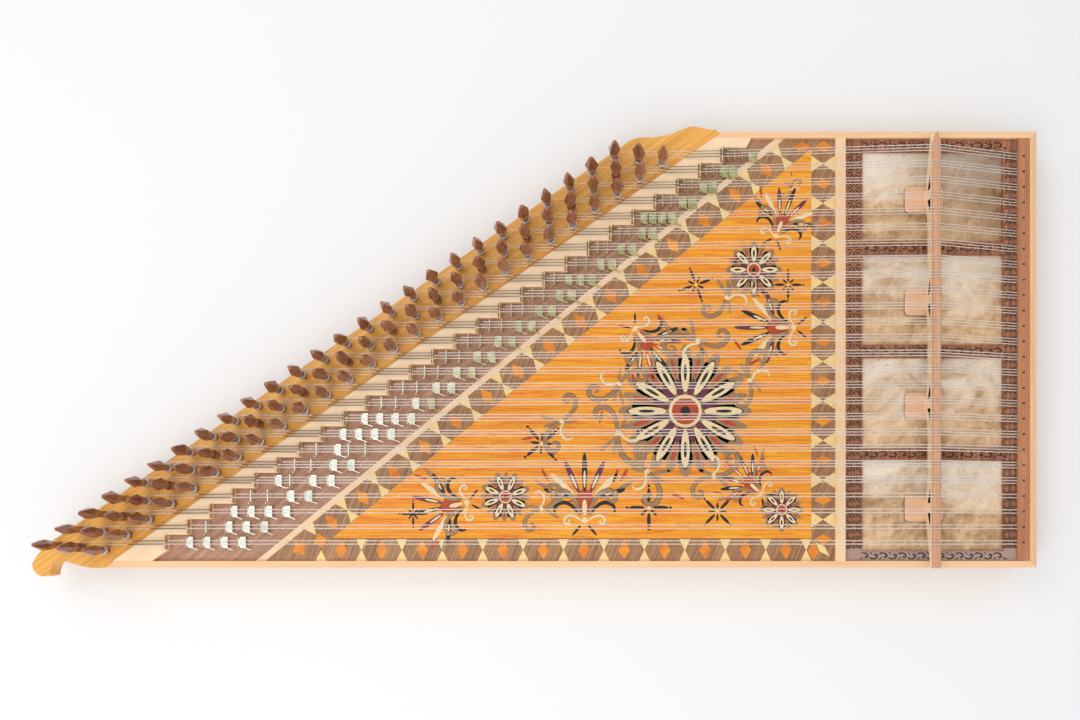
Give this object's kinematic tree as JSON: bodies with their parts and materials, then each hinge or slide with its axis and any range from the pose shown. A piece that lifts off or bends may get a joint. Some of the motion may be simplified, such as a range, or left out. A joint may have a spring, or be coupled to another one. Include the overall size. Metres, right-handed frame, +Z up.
{
  "type": "qanun",
  "caption": "Trapezoid plucked zither with courses of nylon strings, tuning pegs, small pitch levers, inlaid soundboard and a bridge standing on skins.",
  "frame": {"origin": "middle of the footprint, on the surface that the box lies on", "axes": "+X along the strings from the pegs towards the skins, +Y towards the short rear side, +Z up"},
  "size_m": [0.9368, 0.4205, 0.078],
  "materials": {
    "back_board": "thin varnished plywood",
    "bridge": "pale maple",
    "bridge_cap": "pinkish brown hard wood",
    "bridge_feet": "pinkish maple",
    "course_nuts": "polished",
    "cross_rail": "pale varnished maple",
    "end_rail": "pale varnished maple",
    "front_rail": "pale varnished maple",
    "hitch_block": "dark reddish wood",
    "hitch_nails": "dark heads",
    "inlay_bow_ties": "varnished pale veneer",
    "inlay_diamonds": "varnished orange veneer",
    "inlay_walnut": "varnished walnut veneer",
    "lever_board": "oiled walnut",
    "lever_brackets": "brass",
    "lever_course_02": "polished plate",
    "lever_course_04": "polished plate",
    "lever_course_06": "polished plate",
    "lever_course_08": "polished plate",
    "lever_course_10": "polished plate",
    "lever_course_12": "polished plate",
    "lever_course_14": "polished plate",
    "lever_course_16": "polished plate",
    "lever_course_18": "polished plate",
    "lever_course_20": "polished plate",
    "lever_course_22": "polished plate",
    "lever_course_24": "polished plate",
    "lever_course_26": "polished plate",
    "lever_pins": "brass",
    "levers": "polished plate",
    "nut_board": "pale varnished maple",
    "peg_block": "plain planed wood",
    "peg_course_01": "dark polished walnut",
    "peg_course_03": "dark polished walnut",
    "peg_course_05": "dark polished walnut",
    "peg_course_07": "dark polished walnut",
    "peg_course_09": "dark polished walnut",
    "peg_course_11": "dark polished walnut",
    "peg_course_13": "dark polished walnut",
    "peg_course_15": "dark polished walnut",
    "peg_course_17": "dark polished walnut",
    "peg_course_19": "dark polished walnut",
    "peg_course_21": "dark polished walnut",
    "peg_course_23": "dark polished walnut",
    "peg_course_25": "dark polished walnut",
    "pegboard": "golden varnished wood",
    "rear_rail": "pale varnished maple",
    "skin_bearer": "plain planed wood",
    "skin_frame": "dark reddish wood with engraved ornament",
    "skins": "thin stretched skin, mottled",
    "slant_beam": "plain planed spruce",
    "slanted_bar": "pale varnished maple",
    "soundboard": "golden varnished plane wood",
    "soundboard_braces": "plain planed spruce",
    "string_windings_front": "translucent nylon",
    "string_windings_rear": "translucent nylon",
    "strings_bass": "translucent nylon",
    "strings_middle": "translucent nylon",
    "strings_treble": "translucent nylon",
    "tuning_pegs": "dark polished walnut"
  },
  "bodies": {
    "box": {"back_board": "back_board", "bridge": "bridge", "bridge_cap": "bridge_cap", "bridge_feet": "bridge_feet", "course_nuts": "course_nuts", "cross_rail": "cross_rail", "end_rail": "end_rail", "front_rail": "front_rail", "hitch_block": "hitch_block", "hitch_nails": "hitch_nails", "inlay_bow_ties": "inlay_bow_ties", "inlay_diamonds": "inlay_diamonds", "inlay_walnut": "inlay_walnut", "lever_board": "lever_board", "lever_brackets": "lever_brackets", "lever_pins": "lever_pins", "levers": "levers", "nut_board": "nut_board", "peg_block": "peg_block", "pegboard": "pegboard", "rear_rail": "rear_rail", "skin_bearer": "skin_bearer", "skin_frame": "skin_frame", "skins": "skins", "slant_beam": "slant_beam", "slanted_bar": "slanted_bar", "soundboard": "soundboard", "soundboard_braces": "soundboard_braces", "string_windings_front": "string_windings_front", "string_windings_rear": "string_windings_rear", "strings_bass": "strings_bass", "strings_middle": "strings_middle", "strings_treble": "strings_treble", "tuning_pegs": "tuning_pegs"},
    "lever_course_02": {"lever_course_02": "lever_course_02"},
    "lever_course_04": {"lever_course_04": "lever_course_04"},
    "lever_course_06": {"lever_course_06": "lever_course_06"},
    "lever_course_08": {"lever_course_08": "lever_course_08"},
    "lever_course_10": {"lever_course_10": "lever_course_10"},
    "lever_course_12": {"lever_course_12": "lever_course_12"},
    "lever_course_14": {"lever_course_14": "lever_course_14"},
    "lever_course_16": {"lever_course_16": "lever_course_16"},
    "lever_course_18": {"lever_course_18": "lever_course_18"},
    "lever_course_20": {"lever_course_20": "lever_course_20"},
    "lever_course_22": {"lever_course_22": "lever_course_22"},
    "lever_course_24": {"lever_course_24": "lever_course_24"},
    "lever_course_26": {"lever_course_26": "lever_course_26"},
    "peg_course_01": {"peg_course_01": "peg_course_01"},
    "peg_course_03": {"peg_course_03": "peg_course_03"},
    "peg_course_05": {"peg_course_05": "peg_course_05"},
    "peg_course_07": {"peg_course_07": "peg_course_07"},
    "peg_course_09": {"peg_course_09": "peg_course_09"},
    "peg_course_11": {"peg_course_11": "peg_course_11"},
    "peg_course_13": {"peg_course_13": "peg_course_13"},
    "peg_course_15": {"peg_course_15": "peg_course_15"},
    "peg_course_17": {"peg_course_17": "peg_course_17"},
    "peg_course_19": {"peg_course_19": "peg_course_19"},
    "peg_course_21": {"peg_course_21": "peg_course_21"},
    "peg_course_23": {"peg_course_23": "peg_course_23"},
    "peg_course_25": {"peg_course_25": "peg_course_25"}
  },
  "joints": [
    {"name": "lever_02_lift", "type": "hinge", "parent": "box", "child": "lever_course_02", "pos_m": [-0.25375, -0.16407, 0.0426], "axis": [0, -1, 0], "range_deg": [0, 90]},
    {"name": "lever_04_lift", "type": "hinge", "parent": "box", "child": "lever_course_04", "pos_m": [-0.21245, -0.13531, 0.0426], "axis": [0, -1, 0], "range_deg": [0, 90]},
    {"name": "lever_06_lift", "type": "hinge", "parent": "box", "child": "lever_course_06", "pos_m": [-0.17308, -0.10655, 0.0426], "axis": [0, -1, 0], "range_deg": [0, 90]},
    {"name": "lever_08_lift", "type": "hinge", "parent": "box", "child": "lever_course_08", "pos_m": [-0.13564, -0.07779, 0.0426], "axis": [0, -1, 0], "range_deg": [0, 90]},
    {"name": "lever_10_lift", "type": "hinge", "parent": "box", "child": "lever_course_10", "pos_m": [-0.09819, -0.04903, 0.0426], "axis": [0, -1, 0], "range_deg": [0, 90]},
    {"name": "lever_12_lift", "type": "hinge", "parent": "box", "child": "lever_course_12", "pos_m": [-0.06075, -0.02027, 0.0426], "axis": [0, -1, 0], "range_deg": [0, 90]},
    {"name": "lever_14_lift", "type": "hinge", "parent": "box", "child": "lever_course_14", "pos_m": [-0.02331, 0.00849, 0.0426], "axis": [0, -1, 0], "range_deg": [0, 90]},
    {"name": "lever_16_lift", "type": "hinge", "parent": "box", "child": "lever_course_16", "pos_m": [0.01414, 0.03725, 0.0426], "axis": [0, -1, 0], "range_deg": [0, 90]},
    {"name": "lever_18_lift", "type": "hinge", "parent": "box", "child": "lever_course_18", "pos_m": [0.05158, 0.06601, 0.0426], "axis": [0, -1, 0], "range_deg": [0, 90]},
    {"name": "lever_20_lift", "type": "hinge", "parent": "box", "child": "lever_course_20", "pos_m": [0.08902, 0.09477, 0.0426], "axis": [0, -1, 0], "range_deg": [0, 90]},
    {"name": "lever_22_lift", "type": "hinge", "parent": "box", "child": "lever_course_22", "pos_m": [0.12646, 0.12353, 0.0426], "axis": [0, -1, 0], "range_deg": [0, 90]},
    {"name": "lever_24_lift", "type": "hinge", "parent": "box", "child": "lever_course_24", "pos_m": [0.16391, 0.15229, 0.0426], "axis": [0, -1, 0], "range_deg": [0, 90]},
    {"name": "lever_26_lift", "type": "hinge", "parent": "box", "child": "lever_course_26", "pos_m": [0.20135, 0.18105, 0.0426], "axis": [0, -1, 0], "range_deg": [0, 90]},
    {"name": "peg_01_turn", "type": "hinge", "parent": "box", "child": "peg_course_01", "pos_m": [-0.4204, -0.18325, 0.04], "axis": [0, 0, 1], "continuous": true},
    {"name": "peg_03_turn", "type": "hinge", "parent": "box", "child": "peg_course_03", "pos_m": [-0.37892, -0.15447, 0.04], "axis": [0, 0, 1], "continuous": true},
    {"name": "peg_05_turn", "type": "hinge", "parent": "box", "child": "peg_course_05", "pos_m": [-0.33744, -0.12569, 0.04], "axis": [0, 0, 1], "continuous": true},
    {"name": "peg_07_turn", "type": "hinge", "parent": "box", "child": "peg_course_07", "pos_m": [-0.29596, -0.09691, 0.04], "axis": [0, 0, 1], "continuous": true},
    {"name": "peg_09_turn", "type": "hinge", "parent": "box", "child": "peg_course_09", "pos_m": [-0.25448, -0.06813, 0.04], "axis": [0, 0, 1], "continuous": true},
    {"name": "peg_11_turn", "type": "hinge", "parent": "box", "child": "peg_course_11", "pos_m": [-0.213, -0.03935, 0.04], "axis": [0, 0, 1], "continuous": true},
    {"name": "peg_13_turn", "type": "hinge", "parent": "box", "child": "peg_course_13", "pos_m": [-0.17152, -0.01057, 0.04], "axis": [0, 0, 1], "continuous": true},
    {"name": "peg_15_turn", "type": "hinge", "parent": "box", "child": "peg_course_15", "pos_m": [-0.13004, 0.01821, 0.04], "axis": [0, 0, 1], "continuous": true},
    {"name": "peg_17_turn", "type": "hinge", "parent": "box", "child": "peg_course_17", "pos_m": [-0.08856, 0.04699, 0.04], "axis": [0, 0, 1], "continuous": true},
    {"name": "peg_19_turn", "type": "hinge", "parent": "box", "child": "peg_course_19", "pos_m": [-0.04708, 0.07577, 0.04], "axis": [0, 0, 1], "continuous": true},
    {"name": "peg_21_turn", "type": "hinge", "parent": "box", "child": "peg_course_21", "pos_m": [-0.0056, 0.10455, 0.04], "axis": [0, 0, 1], "continuous": true},
    {"name": "peg_23_turn", "type": "hinge", "parent": "box", "child": "peg_course_23", "pos_m": [0.03588, 0.13333, 0.04], "axis": [0, 0, 1], "continuous": true},
    {"name": "peg_25_turn", "type": "hinge", "parent": "box", "child": "peg_course_25", "pos_m": [0.07736, 0.16211, 0.04], "axis": [0, 0, 1], "continuous": true}
  ]
}
